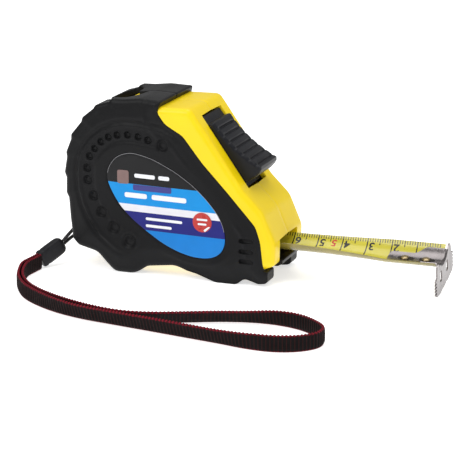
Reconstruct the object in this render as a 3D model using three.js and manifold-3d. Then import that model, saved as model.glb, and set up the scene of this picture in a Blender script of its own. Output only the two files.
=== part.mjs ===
// Pocket tape measure: a 5 m x 19 mm blade in a yellow case with black grip covers.
// Millimetres, +Z up. Drawn in the blade's frame: x = 0 at the scale's zero and +x out of the mouth,
// y = 0 at the blade's middle, z = 0 at the level of the blade's edges. ORIGIN then moves it to the row frame.

import * as THREE from 'three';
import Module from 'manifold-3d';
import { mergeVertices } from 'three/addons/utils/BufferGeometryUtils.js';

const wasm = await Module();
wasm.setup();

// Driving dimensions
const GAP = 0.3;
const FLOOR = -15.7;
const ORIGIN = [72.17, -2.9, -FLOOR];

const HOUSING_HALF = 17.4;
const WALL = 2;
const PARTING = 0.15;
const COVER_FACE = 19;
const COVER_BACK = HOUSING_HALF + GAP;
const FOOT_INNER = 10.5;

const BLADE_HALF_CHORD = 8.2;
const BLADE_SAG = 4.3;
const BLADE_THICK = 0.3;
const BLADE_REAR = -69;
const BLADE_TIP = 1.1;
const BLADE_RADIUS = (BLADE_HALF_CHORD ** 2 + BLADE_SAG ** 2) / (2 * BLADE_SAG);
const BLADE_HALF_ANGLE = Math.asin(BLADE_HALF_CHORD / BLADE_RADIUS);
const RIVET_SPOTS = [-13.2, -4.8];
const HOOK_PLAY = 1;

// The free blade rolls a little about its length and droops, and keeps both from the hook's rear end on
const ROLL_FROM = -60;
const ROLL_TO = -19.5;
const END_ROLL = 12;
const END_DROOP = 0.6;
const ROLL_LEVEL = -2;

const AXLE = [-119, 22.6];
const COIL_OUTER = 22;
const COIL_INNER = 13.6;
const COIL_HALF = 9.5;

const MOUTH_HALF = 10.5;
const MOUTH_TOP = 1.8;
const MOUTH_FRONT = -60.1;

// The slope that the lock slides on: its foot, and its direction up the case
const SLOPE_FOOT = [-73, 21.2];
const SLOPE_ANGLE = THREE.MathUtils.degToRad(125.3);
const SLOT_LENGTH = 33.4;
const SLOT_HALF = 10.5;

const SCREW_SPOTS = [[-137.2, 1.8], [-100.8, 47.4], [-86, 9]];
const STRAP_PIN_SPOT = [-144.2, -1.6];

// Outlines seen from the side: [x, z, corner radius], counter-clockwise
const HOUSING_OUTLINE = [
  [-64.5, -9, 1], [-60.3, -7.2, 2], [MOUTH_FRONT, 1.5, 6], [-65.2, 13.5, 10], [...SLOPE_FOOT, 6],
  [-94.8, 52.1, 3.5], [-106.2, 51.9, 2], [-116, 52.2, 12], [-127, 51, 8], [-138, 43.6, 9],
  [-143.8, 31, 14], [-144, 18, 20], [-142.2, 3, 10], [-140.6, -3.2, 3], [-134, -4.8, 6], [-127, -9, 5],
];
const COVER_OUTLINE = [
  [-62.6, -14.2, 2.6], [-62.6, -9.4, 1], [-64.3, -9.4, 1.6], [-65.7, 2.1, 12], [-67.6, 8, 8],
  [-79.3, 20.9, 30], [-89.3, 31.4, 30], [-97.4, 41.6, 8], [-104.6, 45.6, 7], [-108, 50.2, 4],
  [-106.4, 54.3, 1], [-115.4, 54.7, 12], [-122.5, 53.9, 6], [-127.6, 53.8, 1.5], [-128.6, 52.5, 0.7],
  [-134.2, 50.9, 1.5], [-135.3, 49.3, 0.7], [-139.9, 45.6, 1.5], [-140.4, 43.8, 0.7], [-144.8, 38.5, 1.5],
  [-144.9, 36.5, 0.7], [-147.1, 31.2, 1.5], [-146.8, 29.3, 0.7], [-147.9, 23, 1.5], [-147.1, 20.9, 0.7],
  [-147.3, 14.8, 1.5], [-146.3, 12.9, 0.7], [-145.7, 4.5, 3], [-144.8, -3.8, 2.5], [-142.4, -6.3, 2],
  [-134.3, -8.3, 6], [-130.4, -12.4, 5], [-127, FLOOR, 6], [-118.2, FLOOR, 8], [-113, -12.2, 5],
  [-102, -10.9, 8], [-92, -13, 12], [-84.2, FLOOR, 7], [-75.4, FLOOR, 4], [-72.2, -13, 3],
  [-66.5, -14.7, 3],
];
const LABEL_OUTLINE = [
  [-130, 19, 8], [-120, 7, 10], [-95, -7.4, 10], [-79, -6.3, 6], [-79.6, 10, 12], [-95, 26, 14],
  [-118, 36, 8], [-130, 31, 10],
];

// Materials
const YELLOW = new THREE.MeshStandardMaterial({ color: 0xf2d400, roughness: 0.35, metalness: 0 });
const RUBBER = new THREE.MeshStandardMaterial({ color: 0x1d1e20, roughness: 0.75, metalness: 0 });
const BLACK_PLASTIC = new THREE.MeshStandardMaterial({ color: 0x202125, roughness: 0.5, metalness: 0 });
const GREY_PLASTIC = new THREE.MeshStandardMaterial({ color: 0x9a9c9e, roughness: 0.55, metalness: 0 });
const LABEL_BLUE = new THREE.MeshStandardMaterial({ color: 0x1e8cd7, roughness: 0.3, metalness: 0 });
const BLADE_PAINT = new THREE.MeshStandardMaterial({ color: 0xcdc332, roughness: 0.3, metalness: 0.2 });
const STEEL = new THREE.MeshStandardMaterial({ color: 0x9c9693, roughness: 0.35, metalness: 1 });
const SPRING_STEEL = new THREE.MeshStandardMaterial({ color: 0x5b6068, roughness: 0.3, metalness: 1 });
const BRASS = new THREE.MeshStandardMaterial({ color: 0xb89b5a, roughness: 0.35, metalness: 1 });
const WEBBING = new THREE.MeshStandardMaterial({ color: 0x1b1516, roughness: 0.9, metalness: 0 });

const tape = new THREE.Group();
tape.position.set(...ORIGIN);

function add(name, solid, material) {
  const geometry = solid instanceof THREE.BufferGeometry ? solid : toGeometry(solid);
  const mesh = new THREE.Mesh(geometry, material);
  mesh.name = name;
  tape.add(mesh);
}

// Booleans
function toSolid(geometry) {
  const bare = geometry.clone();
  bare.deleteAttribute('normal');
  bare.deleteAttribute('uv');
  const merged = mergeVertices(bare, 1e-4);
  return new wasm.Manifold(new wasm.Mesh({
    numProp: 3,
    vertProperties: new Float32Array(merged.attributes.position.array),
    triVerts: new Uint32Array(merged.index.array),
  }));
}

function toGeometry(solid) {
  const mesh = solid.getMesh();
  const geometry = new THREE.BufferGeometry();
  geometry.setAttribute('position', new THREE.BufferAttribute(mesh.vertProperties, 3));
  geometry.setIndex(new THREE.BufferAttribute(mesh.triVerts, 1));
  geometry.computeVertexNormals();
  return geometry;
}

// Outlines
function insetOutline(corners, depth) {
  const count = corners.length;
  return corners.map(([x, z, radius], i) => {
    const before = corners[(i + count - 1) % count];
    const after = corners[(i + 1) % count];
    const into = new THREE.Vector2(x - before[0], z - before[1]).normalize();
    const out = new THREE.Vector2(after[0] - x, after[1] - z).normalize();
    const inward = new THREE.Vector2(-into.y - out.y, into.x + out.x).normalize();
    const reach = depth / Math.max(inward.dot(new THREE.Vector2(-into.y, into.x)), 0.4);
    const convex = into.cross(out) > 0;
    return [x + inward.x * reach, z + inward.y * reach, Math.max(radius + (convex ? -depth : depth), 0.3)];
  });
}

// A corner that barely turns is left as one point
const SMALLEST_REACH = 0.15;

function roundedShape(corners) {
  const shape = new THREE.Shape();
  const count = corners.length;
  corners.forEach(([x, z, radius], i) => {
    const corner = new THREE.Vector2(x, z);
    const before = new THREE.Vector2(...corners[(i + count - 1) % count].slice(0, 2));
    const after = new THREE.Vector2(...corners[(i + 1) % count].slice(0, 2));
    const into = corner.clone().sub(before);
    const out = after.clone().sub(corner);
    const turn = Math.acos(THREE.MathUtils.clamp(into.dot(out) / into.length() / out.length(), -1, 1));
    const reach = Math.min(radius * Math.tan(turn / 2), 0.45 * into.length(), 0.45 * out.length());
    const start = corner.clone().addScaledVector(into.normalize(), -reach);
    const end = corner.clone().addScaledVector(out.normalize(), reach);
    if (i === 0) {
      shape.moveTo(start.x, start.y);
    } else {
      shape.lineTo(start.x, start.y);
    }
    if (reach > SMALLEST_REACH) {
      shape.quadraticCurveTo(corner.x, corner.y, end.x, end.y);
    }
  });
  shape.closePath();
  return shape;
}

// Extrudes an (x, z) shape from y0 to y1
function extrudeSide(shape, y0, y1, curveSegments = 4) {
  const geometry = new THREE.ExtrudeGeometry(shape, { depth: y1 - y0, bevelEnabled: false, curveSegments });
  geometry.rotateX(Math.PI / 2);
  geometry.translate(0, y1, 0);
  return geometry;
}

function prism(corners, y0, y1, curveSegments = 4) {
  return toSolid(extrudeSide(roundedShape(corners), y0, y1, curveSegments));
}

function polygonPrism(points, y0, y1) {
  return toSolid(extrudeSide(new THREE.Shape(points.map(([x, z]) => new THREE.Vector2(x, z))), y0, y1));
}

function box(x0, x1, y0, y1, z0, z1) {
  const geometry = new THREE.BoxGeometry(x1 - x0, y1 - y0, z1 - z0);
  geometry.translate((x0 + x1) / 2, (y0 + y1) / 2, (z0 + z1) / 2);
  return toSolid(geometry);
}

function rod(radius, y0, y1, [x, z], sides = 24) {
  const geometry = new THREE.CylinderGeometry(radius, radius, y1 - y0, sides);
  geometry.translate(x, (y0 + y1) / 2, z);
  return toSolid(geometry);
}

// Turns a closed (radius, y) profile round the reel's axle
function turned(profile, segments = 48) {
  const loop = [...profile, profile[0]].map(([radius, y]) => new THREE.Vector2(radius, y));
  const geometry = new THREE.LatheGeometry(loop, segments);
  geometry.translate(AXLE[0], 0, AXLE[1]);
  return toSolid(geometry);
}

// A point on the slope: s along it from the slot's foot, n outwards from the case's surface
function onSlope(s, n) {
  const along = [Math.cos(SLOPE_ANGLE), Math.sin(SLOPE_ANGLE)];
  return [
    SLOPE_FOOT[0] + s * along[0] + n * along[1],
    SLOPE_FOOT[1] + s * along[1] - n * along[0],
  ];
}

// Case halves: side +1 is the left half (+Y), side -1 the right half
function span(side, inner, outer) {
  return side > 0 ? [inner, outer] : [-outer, -inner];
}

function housingHalf(side) {
  const inside = HOUSING_HALF - WALL;
  const bossRadius = 2.6;
  const screwHoleRadius = 1.5;
  const hubDepth = 2.5;
  let half = prism(HOUSING_OUTLINE, ...span(side, PARTING, HOUSING_HALF));
  half = half.subtract(prism(insetOutline(HOUSING_OUTLINE, WALL), ...span(side, PARTING - 0.1, inside)));
  for (const spot of SCREW_SPOTS) {
    half = half.add(rod(bossRadius, ...span(side, PARTING, inside + 0.5), spot));
  }
  half = half.add(rod(5, ...span(side, inside - hubDepth, inside + 0.5), AXLE));
  half = half.subtract(rod(2.8 + GAP, ...span(side, inside - hubDepth - 1, inside), AXLE));
  half = half.add(prism([
    [-139.5, -4.2, 1], [-139.5, 2, 1], [-144, 2, 1.5], [-146.4, 0, 2], [-146.4, -3, 2], [-144, -4.4, 1.5],
  ], ...span(side, 6, 9)));
  half = half.subtract(rod(1.25, ...span(side, 5, 10), STRAP_PIN_SPOT, 16));

  for (const spot of SCREW_SPOTS) {
    const holeEnd = side > 0 ? HOUSING_HALF + 1 : 10;
    half = half.subtract(rod(screwHoleRadius, ...span(side, 0, holeEnd), spot, 16));
    if (side > 0) {
      half = half.subtract(rod(2.6, HOUSING_HALF - 1.3, HOUSING_HALF + 1, spot));
    }
  }
  if (side > 0) {
    half = half.subtract(rod(screwHoleRadius, inside - 1, HOUSING_HALF + 1, AXLE, 16));
  }

  const slot = [
    onSlope(0, -WALL - 1.5), onSlope(0, 2), onSlope(SLOT_LENGTH, 2), onSlope(SLOT_LENGTH, -WALL - 1.5),
  ];
  half = half.subtract(polygonPrism(slot, ...span(side, 0, SLOT_HALF)));
  half = half.subtract(box(-66, -55, ...span(side, 0, MOUTH_HALF), -12, MOUTH_TOP));
  half = half.subtract(box(-75, -60, ...span(side, 0, MOUTH_HALF), -12, -6.5));
  return half;
}

// Grip covers: a side plate and a wrap round the case's rim, with feet, ridges and dimples
function gripCover(side) {
  const windowCentre = [-128, 46];
  let cover = prism(COVER_OUTLINE, ...span(side, PARTING, COVER_FACE), 3);
  const core = insetOutline(HOUSING_OUTLINE, -GAP);
  cover = cover.subtract(prism(core, ...span(side, 0, COVER_BACK)));
  cover = cover.subtract(box(-131.5, -58, ...span(side, 0, FOOT_INNER), -20, -6));
  cover = cover.subtract(box(-150, -138.2, ...span(side, 0, 9.3), -10, 2.4));

  const roofWindow = new THREE.CylinderGeometry(1, 1, 20, 32);
  roofWindow.rotateX(Math.PI / 2);
  roofWindow.scale(5.4, 13, 1);
  roofWindow.translate(windowCentre[0], 0, windowCentre[1]);
  cover = cover.subtract(toSolid(roofWindow));

  if (side < 0) {
    const recess = insetOutline(LABEL_OUTLINE, -GAP);
    cover = cover.subtract(prism(recess, ...span(side, COVER_FACE - 0.8, COVER_FACE + 1)));
  }
  for (const [x, z, radius] of dimples()) {
    cover = cover.subtract(rod(radius, ...span(side, COVER_FACE - 0.7, COVER_FACE + 1), [x, z], 10));
  }
  for (const z of [2, -2, -6]) {
    const groove = [[-74, z - 0.5], [-67.5, z - 0.5], [-67.5, z + 0.5], [-74, z + 0.5]];
    cover = cover.subtract(polygonPrism(groove, ...span(side, COVER_FACE - 0.6, COVER_FACE + 1)));
  }
  if (side > 0) {
    for (const spot of [...SCREW_SPOTS, AXLE]) {
      cover = cover.subtract(rod(2.6, COVER_BACK - 1, COVER_FACE + 1, spot));
    }
  }
  return cover;
}

// The arc of dimples round the label: small ones over the top, growing down the rear
function dimples() {
  const centre = [-120.5, 22.8];
  const spots = [[-105.6, 37.3, 2.2]];
  for (let i = 0; i < 9; i += 1) {
    const angle = THREE.MathUtils.degToRad(59 + i * 14.2);
    spots.push([centre[0] + 17.3 * Math.cos(angle), centre[1] + 17.3 * Math.sin(angle), 1.2]);
  }
  for (let i = 0; i < 5; i += 1) {
    const angle = THREE.MathUtils.degToRad(188 + i * 21);
    const radius = 17.4 + i * 1.9;
    spots.push([centre[0] + radius * Math.cos(angle), centre[1] + radius * Math.sin(angle), 1.5 + i * 0.28]);
  }
  return spots;
}

// The blade's curved section, as a shape in (y, z): an arc band between two radii
function arcBand(innerRadius, thickness, halfAngle, steps = 12) {
  const centreZ = BLADE_RADIUS - BLADE_SAG;
  const points = [];
  for (let i = 0; i <= steps; i += 1) {
    const angle = -halfAngle + (2 * halfAngle * i) / steps;
    points.push([innerRadius * Math.sin(angle), centreZ - innerRadius * Math.cos(angle)]);
  }
  for (let i = steps; i >= 0; i -= 1) {
    const angle = -halfAngle + (2 * halfAngle * i) / steps;
    const outer = innerRadius + thickness;
    points.push([outer * Math.sin(angle), centreZ - outer * Math.cos(angle)]);
  }
  return points;
}

// Extrudes a (y, z) shape from x0 to x1
function extrudeForward(shape, x0, x1, steps = 1) {
  const geometry = new THREE.ExtrudeGeometry(shape, { depth: x1 - x0, bevelEnabled: false, steps });
  const turn = new THREE.Matrix4().makeBasis(
    new THREE.Vector3(0, 1, 0), new THREE.Vector3(0, 0, 1), new THREE.Vector3(1, 0, 0),
  );
  geometry.applyMatrix4(turn);
  geometry.translate(x0, 0, 0);
  return geometry;
}

function forwardPrism(points, x0, x1) {
  return toSolid(extrudeForward(new THREE.Shape(points.map(([y, z]) => new THREE.Vector2(y, z))), x0, x1));
}

function uprightRod(radius, z0, z1, x, y, sides = 16) {
  const geometry = new THREE.CylinderGeometry(radius, radius, z1 - z0, sides);
  geometry.rotateX(Math.PI / 2);
  geometry.translate(x, y, (z0 + z1) / 2);
  return toSolid(geometry);
}

// Moves a solid near the blade's end with the blade's roll and droop
function rolled(solid) {
  return solid.translate([0, 0, -ROLL_LEVEL]).rotate([END_ROLL, 0, 0]).translate([0, 0, ROLL_LEVEL - END_DROOP]);
}

function blade() {
  const section = new THREE.Shape(
    arcBand(BLADE_RADIUS, BLADE_THICK, BLADE_HALF_ANGLE).map(([y, z]) => new THREE.Vector2(y, z)),
  );
  const geometry = extrudeForward(section, BLADE_REAR, BLADE_TIP, 35);
  const places = geometry.attributes.position;
  for (let i = 0; i < places.count; i += 1) {
    const share = THREE.MathUtils.clamp((places.getX(i) - ROLL_FROM) / (ROLL_TO - ROLL_FROM), 0, 1) ** 1.8;
    const roll = THREE.MathUtils.degToRad(END_ROLL) * share;
    const y = places.getY(i);
    const up = places.getZ(i) - ROLL_LEVEL;
    places.setY(i, y * Math.cos(roll) - up * Math.sin(roll));
    places.setZ(i, ROLL_LEVEL + y * Math.sin(roll) + up * Math.cos(roll) - END_DROOP * share);
  }
  let strip = toSolid(geometry);
  for (const x of RIVET_SPOTS) {
    strip = strip.subtract(rolled(uprightRod(1.3, -7, -2, x, 0)));
  }
  return strip;
}

function endHook() {
  const tongueThick = 0.7;
  const tongueOuter = BLADE_RADIUS - GAP;
  const plateBack = 1.4;
  const plateFront = 2.4;
  let hook = forwardPrism(arcBand(tongueOuter - tongueThick, tongueThick, 0.42), -19, plateBack + 0.1);
  hook = hook.add(forwardPrism(arcBand(tongueOuter - tongueThick, tongueThick, 0.74), -7, plateBack + 0.1));
  const half = [
    [0, -13.8], [3, -13.5], [6, -13.9], [8.5, -13.3], [11, -12.7], [13.2, -12.2], [13.2, -5.4], [10.8, -4.8],
    [10.5, -2.6], [9.8, 0.2], [8.4, 0.6], [5.6, -1.4], [0, -2.9],
  ];
  const outline = [...half, ...half.slice(1, -1).reverse().map(([y, z]) => [-y, z])];
  hook = hook.add(forwardPrism(outline, plateBack, plateFront));
  for (const x of RIVET_SPOTS) {
    for (const shift of [0, HOOK_PLAY / 2, HOOK_PLAY]) {
      hook = hook.subtract(uprightRod(1.3, -7, -2, x - shift, 0));
    }
  }
  for (const y of [-4.6, 4.6]) {
    hook = hook.subtract(box(0, 4, y - 1.2, y + 1.2, -9.4, -5.2));
  }
  return rolled(hook);
}

function hookRivet(x) {
  const head = uprightRod(1.5, -2.98, -2.6, x, 0);
  const shank = uprightRod(1, -5.2, -2.8, x, 0);
  const foot = uprightRod(1.5, -5.3, -4.85, x, 0);
  return rolled(head.add(shank).add(foot));
}

// Lock: the thumb button outside, and the slider with its brake tongue behind the slope's wall
function lockButton() {
  const ribs = 7;
  const ribbedFrom = 5.7;
  const ribbedTo = 28.2;
  const grooveDepth = 0.7;
  const padTop = (s) => 8.6 - 0.52 * (s - 4.6) + 0.0105 * (s - 4.6) ** 2;
  const profile = [[2.3, -WALL + 0.1], [2.3, 2.2], [2, 4.4], [3.2, 7.8], [4.6, padTop(4.6)]];
  const pitch = (ribbedTo - ribbedFrom) / ribs;
  for (let i = 0; i < ribs; i += 1) {
    const s = ribbedFrom + i * pitch;
    const grooveFloor = padTop(s) - grooveDepth;
    profile.push([s, padTop(s)], [s + 0.3, grooveFloor], [s + 0.9, grooveFloor], [s + 1.2, padTop(s + 1.2)]);
  }
  profile.push([28.9, 1.6], [29.3, -0.5], [33.1, -0.5], [33.1, -WALL + 0.1]);
  return polygonPrism(profile.map(([s, n]) => onSlope(s, n)), GAP - SLOT_HALF, SLOT_HALF - GAP);
}

function lockTongue() {
  const top = -WALL - 0.2;
  const bottom = top - 1.2;
  const plate = polygonPrism(
    [onSlope(0.8, bottom), onSlope(0.8, top), onSlope(31, top), onSlope(31, bottom)], -11.4, 11.4,
  );
  const tongue = polygonPrism([
    onSlope(3.5, bottom + 0.4), onSlope(8, bottom + 0.4), [-77.5, 12], [-71.4, 2.2], [-69, -0.8], [-67.2, -0.8],
    [-68, 1.7], [-74.6, 12],
  ], -2.2, 2.2);
  return plate.add(tongue);
}

// Reel
function spoolDrum() {
  return turned([
    [3.4, -10.8], [22.3, -10.8], [22.3, -10], [13.3, -10], [13.3, 9.8], [12.2, 9.8], [12.2, -10], [3.4, -10],
  ]);
}

function spoolFlange() {
  return turned([[3.4, 10.1], [22.3, 10.1], [22.3, 10.9], [3.4, 10.9]]);
}

function bladeCoil() {
  return turned([
    [COIL_INNER, -COIL_HALF], [COIL_OUTER, -COIL_HALF], [COIL_OUTER, COIL_HALF], [COIL_INNER, COIL_HALF],
  ]);
}

function powerSpring() {
  const turns = 6;
  const stepsPerTurn = 18;
  const ribbon = 0.45;
  const steps = turns * stepsPerTurn;
  const innerEnd = 3.6;
  const outerEnd = 11.4;
  const radiusAt = (i) => innerEnd + (outerEnd - innerEnd) * (i / steps);
  const place = (i, shift) => {
    const angle = (i / stepsPerTurn) * 2 * Math.PI;
    const radius = radiusAt(i) + shift;
    return [AXLE[0] + radius * Math.cos(angle), AXLE[1] + radius * Math.sin(angle)];
  };
  const points = [];
  for (let i = 0; i <= steps; i += 1) {
    points.push(place(i, ribbon));
  }
  for (let i = steps; i >= 0; i -= 1) {
    points.push(place(i, 0));
  }
  return polygonPrism(points, -9, 9);
}

function spindle() {
  const post = rod(2.8, -15.1, 15.1, AXLE);
  return post.subtract(rod(1.5, 6, 16, AXLE, 16));
}

function caseScrew(spot) {
  const head = rod(2.2, HOUSING_HALF - 1, HOUSING_HALF + 0.4, spot);
  const shank = rod(1.2, -9, HOUSING_HALF - 0.9, spot, 16);
  const drive = box(spot[0] - 1.4, spot[0] + 1.4, HOUSING_HALF - 0.2, 20, spot[1] - 0.25, spot[1] + 0.25);
  return head.add(shank).subtract(drive);
}

function mouthLip() {
  return prism([
    [-59.2, -6.6, 0.4], [-74.6, -6.6, 0.2], [-74.6, -9, 0.2], [-61.2, -9, 1.2], [-59.2, -7.9, 0.8],
  ], -MOUTH_HALF + GAP, MOUTH_HALF - GAP);
}

// Belt clip: a steel strip bent over at the top, screwed to the left side
function beltClip() {
  const half = 7;
  const inner = COVER_FACE + GAP;
  const profile = [
    [inner, 15], [inner + 1, 15], [inner + 1, 40], [inner + 1.6, 41.6], [inner + 2.4, 42.2],
    [inner + 3.2, 41.6], [inner + 3.6, 40], [inner + 3.2, 12], [inner + 4.6, 6.5], [inner + 5.5, 6.9],
    [inner + 4.2, 12], [inner + 4.6, 40.6], [inner + 3.8, 42.6], [inner + 2.4, 43.2], [inner + 1, 42.6],
    [inner, 40.6],
  ];
  const screwHole = rod(1.5, inner - 1, inner + 2, AXLE, 16);
  const driverHole = rod(2.9, inner + 2.4, inner + 6, AXLE);
  return forwardPrism(profile, AXLE[0] - half, AXLE[0] + half).subtract(screwHole).subtract(driverHole);
}

function clipScrew() {
  const seat = COVER_FACE + GAP + 1 + 0.1;
  const head = rod(2.4, seat, seat + 1.2, AXLE);
  const shank = rod(1.2, 7, seat + 0.1, AXLE, 16);
  return head.add(shank);
}

// Strap: webbing loop, clamp and the thin cord through the case's lugs
const CLAMP_FOOT = new THREE.Vector3(-156.6, -22.4, -12.3);
const CLAMP_HEAD = new THREE.Vector3(-150.8, -14.2, -7.2);
const WEBBING_WIDTH = 6;
const WEBBING_THICK = 1.2;
const CORD_RADIUS = 0.7;

// Seen from above; it stands on its edge at one level
const WEBBING_LEVEL = -12.6;
const WEBBING_ROUTE = [
  [-157.3, -24], [-157.6, -28.6], [-158, -35.5], [-155.8, -43.5], [-151.6, -52.9], [-144.8, -62.1],
  [-135.5, -69.4], [-124.5, -75.2], [-113, -78.9], [-101, -81], [-88, -83.2], [-72, -86], [-57, -88.6],
  [-45, -90.8], [-35.5, -90.7], [-27.4, -87.4], [-22.4, -81.4], [-22.6, -74.4], [-28, -68.2],
  [-35.5, -63.6], [-44.5, -61.6], [-54, -62.3], [-64, -65], [-74.5, -69.4], [-86, -74.2], [-99, -77.8],
  [-112, -77.2], [-123.7, -73.6], [-134.4, -67.9], [-143.5, -60.8], [-150.3, -51.9], [-154.4, -42.7],
  [-156.4, -35.1], [-156.1, -28.7], [-155.8, -24.6],
].map(([x, y]) => [x, y, WEBBING_LEVEL]);
const CORD_ROUTE = [
  [-150.5, -13.9, -6.1], [-149, -9.8, -3.4], [-147.3, -6.2, -1.1], [-145.2, -4, 0.1],
  [-143.2, -3, -0.1], [-142.4, -2.7, -1.6], [-143.1, -2.7, -3.1], [-145, -3.2, -3.5], [-147.5, -5.8, -4.5],
  [-149.3, -9.4, -6], [-150.5, -13.4, -7.5],
];

function along(route, shape, steps) {
  const curve = new THREE.CatmullRomCurve3(route.map((point) => new THREE.Vector3(...point)));
  return new THREE.ExtrudeGeometry(shape, { steps, bevelEnabled: false, extrudePath: curve });
}

function rectangle(width, height) {
  const shape = new THREE.Shape();
  shape.moveTo(-width / 2, -height / 2);
  shape.lineTo(width / 2, -height / 2);
  shape.lineTo(width / 2, height / 2);
  shape.lineTo(-width / 2, height / 2);
  shape.closePath();
  return shape;
}

function octagon(radius) {
  const points = [];
  for (let i = 0; i < 8; i += 1) {
    const angle = (i / 8) * 2 * Math.PI;
    points.push(new THREE.Vector2(radius * Math.cos(angle), radius * Math.sin(angle)));
  }
  return new THREE.Shape(points);
}

function strapClamp() {
  const width = 6.8;
  const thick = 4.4;
  const axis = CLAMP_HEAD.clone().sub(CLAMP_FOOT);
  const length = axis.length();
  axis.normalize();
  const upright = new THREE.Vector3(0, 0, 1).addScaledVector(axis, -axis.z).normalize();
  const across = new THREE.Vector3().crossVectors(upright, axis);
  const section = roundedShape([
    [width / 2, -thick / 2, 1.6], [width / 2, thick / 2, 1.6], [-width / 2, thick / 2, 1.6],
    [-width / 2, -thick / 2, 1.6],
  ]);
  const geometry = new THREE.ExtrudeGeometry(section, { depth: length, bevelEnabled: false, curveSegments: 4 });
  geometry.applyMatrix4(new THREE.Matrix4().makeBasis(upright, across.negate(), axis));
  geometry.translate(CLAMP_FOOT.x, CLAMP_FOOT.y, CLAMP_FOOT.z);
  return geometry;
}

add('right_housing', housingHalf(-1), YELLOW);
add('left_housing', housingHalf(1), YELLOW);
add('right_grip_cover', gripCover(-1), RUBBER);
add('left_grip_cover', gripCover(1), RUBBER);
add('right_label', prism(LABEL_OUTLINE, -COVER_FACE + 0.1, -COVER_FACE + 0.5), LABEL_BLUE);
add('mouth_lip', mouthLip(), BLACK_PLASTIC);
add('spindle', spindle(), STEEL);
add('spool_drum', spoolDrum(), GREY_PLASTIC);
add('spool_flange', spoolFlange(), GREY_PLASTIC);
add('power_spring', powerSpring(), SPRING_STEEL);
add('blade_coil', bladeCoil(), BLADE_PAINT);
add('blade', blade(), BLADE_PAINT);
add('end_hook', endHook(), STEEL);
RIVET_SPOTS.forEach((x, i) => add(`hook_rivet_${i + 1}`, hookRivet(x), BRASS));
add('lock_button', lockButton(), BLACK_PLASTIC);
add('lock_tongue', lockTongue(), BLACK_PLASTIC);
SCREW_SPOTS.forEach((spot, i) => add(`case_screw_${i + 1}`, caseScrew(spot), STEEL));
add('belt_clip', beltClip(), STEEL);
add('clip_screw', clipScrew(), STEEL);
add('strap_pin', rod(1, -8.7, 8.7, STRAP_PIN_SPOT, 16), STEEL);
add('strap_cord', along(CORD_ROUTE, octagon(CORD_RADIUS), 24), WEBBING);
add('strap_clamp', strapClamp(), BLACK_PLASTIC);
add('strap_webbing', along(WEBBING_ROUTE, rectangle(WEBBING_WIDTH, WEBBING_THICK), 76), WEBBING);

export default tape;
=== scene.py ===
"""A pocket tape measure round its CAD frame: camera, strap, case, label, lock, blade, hook and light."""

from math import acos, asin, copysign, cos, pi, radians, sin, sqrt, tan

import bpy
import numpy as np
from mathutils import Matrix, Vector, noise
from mathutils.geometry import delaunay_2d_cdt
from numpy.linalg import norm


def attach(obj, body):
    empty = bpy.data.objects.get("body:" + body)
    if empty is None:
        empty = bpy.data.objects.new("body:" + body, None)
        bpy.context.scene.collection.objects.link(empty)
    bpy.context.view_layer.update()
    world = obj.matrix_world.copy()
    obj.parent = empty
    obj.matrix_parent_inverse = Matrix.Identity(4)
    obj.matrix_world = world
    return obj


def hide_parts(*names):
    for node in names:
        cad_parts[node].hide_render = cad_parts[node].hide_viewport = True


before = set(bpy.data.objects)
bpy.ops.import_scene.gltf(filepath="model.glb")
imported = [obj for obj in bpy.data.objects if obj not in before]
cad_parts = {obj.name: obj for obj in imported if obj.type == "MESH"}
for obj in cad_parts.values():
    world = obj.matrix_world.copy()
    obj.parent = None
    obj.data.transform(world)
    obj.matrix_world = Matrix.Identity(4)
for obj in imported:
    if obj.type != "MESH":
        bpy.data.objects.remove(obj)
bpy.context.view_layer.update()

# Lengths are millimetres in the blade's own frame: x = 0 at the scale's zero, y = 0 at the blade's middle and
# z = 0 at its edges. This is where that frame stands.
BLADE_ORIGIN = Vector((72.17, -2.9, 15.7))
# How far the case's parts stand from its middle plane
FACE = 19.0
NOSE_FACE = 18.2
COVER_BACK = 17.0
UNDER_REACH = 10.5
# The blade's curve and ends, and how its free end rolls and droops
BLADE_HALF_CHORD, BLADE_SAG = 8.2, 4.3
BLADE_RADIUS = (BLADE_HALF_CHORD**2 + BLADE_SAG**2) / (2 * BLADE_SAG)
BLADE_HALF_ANGLE = asin(BLADE_HALF_CHORD / BLADE_RADIUS)
BLADE_REAR, BLADE_TIP, BLADE_THICK = -69.0, 1.1, 0.2
ROLL_FROM, ROLL_TO, ROLL_LEVEL, ROLL_GROWTH = -60.0, -19.5, -2.0, 1.8
END_ROLL, END_DROOP = radians(12), 0.6
RIVET_SPOTS = (-13.2, -4.8)
# The front slope, and the slot that the lock slides in
SLOPE_FOOT = (-73.0, 21.2)
SLOPE_ANGLE = radians(125.3)
SLOT_LENGTH, SLOT_HALF = 33.4, 10.5
# The label's print falls by this much for each mm towards the front
PRINT_FALL = 0.022
# A side's outline points lie this far apart, and its rim follows the outline smoothed by this much
SPACING, RIM_SMOOTHING = 0.3, 1.6


def at(x, y, z):
    """A point of the blade's frame, in the row frame in metres."""
    return (Vector((x, y, z)) + BLADE_ORIGIN) / 1000


def add_object(name, data):
    made = bpy.data.objects.new(name, data)
    bpy.context.scene.collection.objects.link(made)
    return made


# --- camera
CAMERA_PLACE = (0.25367, -0.7363, 0.2288)
CAMERA_AZIMUTH, CAMERA_ELEVATION = radians(19.795), radians(15.365)
camera = add_object("camera", bpy.data.cameras.new("camera"))
camera.data.sensor_width = 36.0
camera.data.lens = 156.8
camera.data.clip_end = 20
camera.location = CAMERA_PLACE
camera.rotation_euler = (pi / 2 - CAMERA_ELEVATION, 0, CAMERA_AZIMUTH)
bpy.context.scene.camera = camera


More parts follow.
